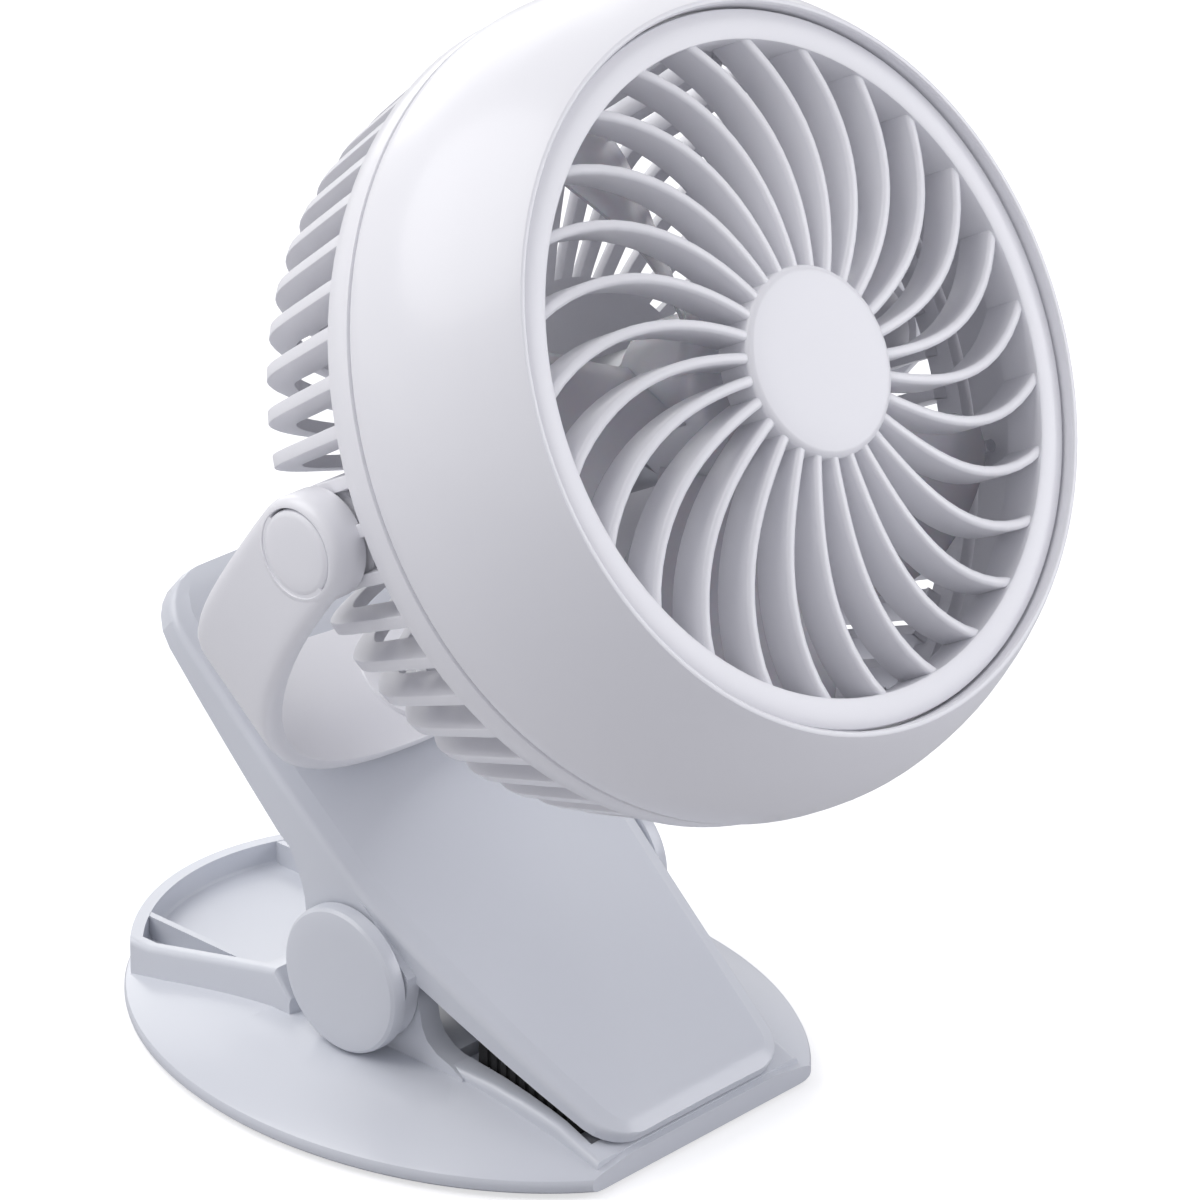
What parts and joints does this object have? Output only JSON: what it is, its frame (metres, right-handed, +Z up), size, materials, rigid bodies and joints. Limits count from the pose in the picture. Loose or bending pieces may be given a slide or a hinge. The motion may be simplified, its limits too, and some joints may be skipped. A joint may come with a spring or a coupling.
{
  "type": "clip fan",
  "caption": "Rechargeable desk fan: a tilting round head with a spiral front grille in a swivelling U-shaped yoke, on a sprung clip whose lower jaw is a wide oval foot.",
  "frame": {"origin": "on the table, under the hinge pin of the clip, at the underside of the foot pad", "axes": "+Z up; the fan blows towards -Y, upwards; X runs along the hinge pin"},
  "size_m": [0.1552, 0.1803, 0.2109],
  "materials": {
    "shell_white": "smooth white moulded plastic with a soft gloss",
    "button_white": "smooth white moulded plastic",
    "foot_rubber": "soft matt black rubber",
    "jaw_rubber": "soft matt black rubber, ribbed",
    "washer_rubber": "matt friction washer",
    "steel": "plated steel",
    "motor_steel": "drawn steel can",
    "blade_plastic": "pale milky glossy plastic",
    "battery_wrap": "thin wrap",
    "board": "coated board",
    "lens": "clear green light pipe"
  },
  "bodies": {
    "base": {"base_shell": "shell_white", "base_cover": "shell_white", "foot_pad": "foot_rubber", "battery_cell": "battery_wrap", "lower_jaw_pad": "jaw_rubber", "hinge_pin": "steel", "torsion_spring": "steel", "base_screw_1": "steel", "base_screw_2": "steel", "base_screw_3": "steel", "base_screw_4": "steel", "hinge_cap_left": "shell_white", "hinge_cap_right": "shell_white"},
    "arm": {"arm_shell": "shell_white", "arm_lid": "shell_white", "upper_jaw_pad": "jaw_rubber", "arm_screw_1": "steel", "arm_screw_2": "steel", "arm_screw_3": "steel", "arm_screw_4": "steel"},
    "yoke_frame": {"yoke": "shell_white", "swivel_screw": "steel", "swivel_washer": "washer_rubber", "tilt_cap_left": "shell_white", "tilt_cap_right": "shell_white", "tilt_screw_left": "steel", "tilt_screw_right": "steel", "tilt_washer_left": "washer_rubber", "tilt_washer_right": "washer_rubber"},
    "head": {"front_grille": "shell_white", "head_housing": "shell_white", "rear_grille": "shell_white", "case_screw_1": "steel", "case_screw_2": "steel", "case_screw_3": "steel", "motor_can": "motor_steel", "control_board": "board", "rear_cover": "shell_white", "usb_port": "steel", "indicator_lens": "lens"},
    "fan_rotor": {"rotor": "blade_plastic", "motor_shaft": "steel"},
    "button": {"power_button": "button_white"}
  },
  "joints": [
    {"name": "clip_hinge", "type": "hinge", "parent": "base", "child": "arm", "pos_m": [0, 0, 0.0252], "axis": [-1, 0, 0], "range_deg": [0, 28], "stiffness_Nm_per_rad": 1, "springref_deg": -20.05},
    {"name": "yoke_swivel", "type": "hinge", "parent": "arm", "child": "yoke_frame", "pos_m": [0, -0.03179, 0.13142], "axis": [0, -0.6267, 0.7792], "continuous": true},
    {"name": "head_tilt", "type": "hinge", "parent": "yoke_frame", "child": "head", "pos_m": [0, -0.03179, 0.13142], "axis": [1, 0, 0], "range_deg": [-80, 75]},
    {"name": "rotor_spin", "type": "hinge", "parent": "head", "child": "fan_rotor", "pos_m": [0, -0.03179, 0.13142], "axis": [0, -0.8796, 0.4756], "continuous": true},
    {"name": "power_press", "type": "slide", "parent": "head", "child": "button", "axis": [0, -0.8796, 0.4756], "range_m": [0, 0.001], "stiffness_N_per_m": 600, "springref_m": -0.0005}
  ]
}
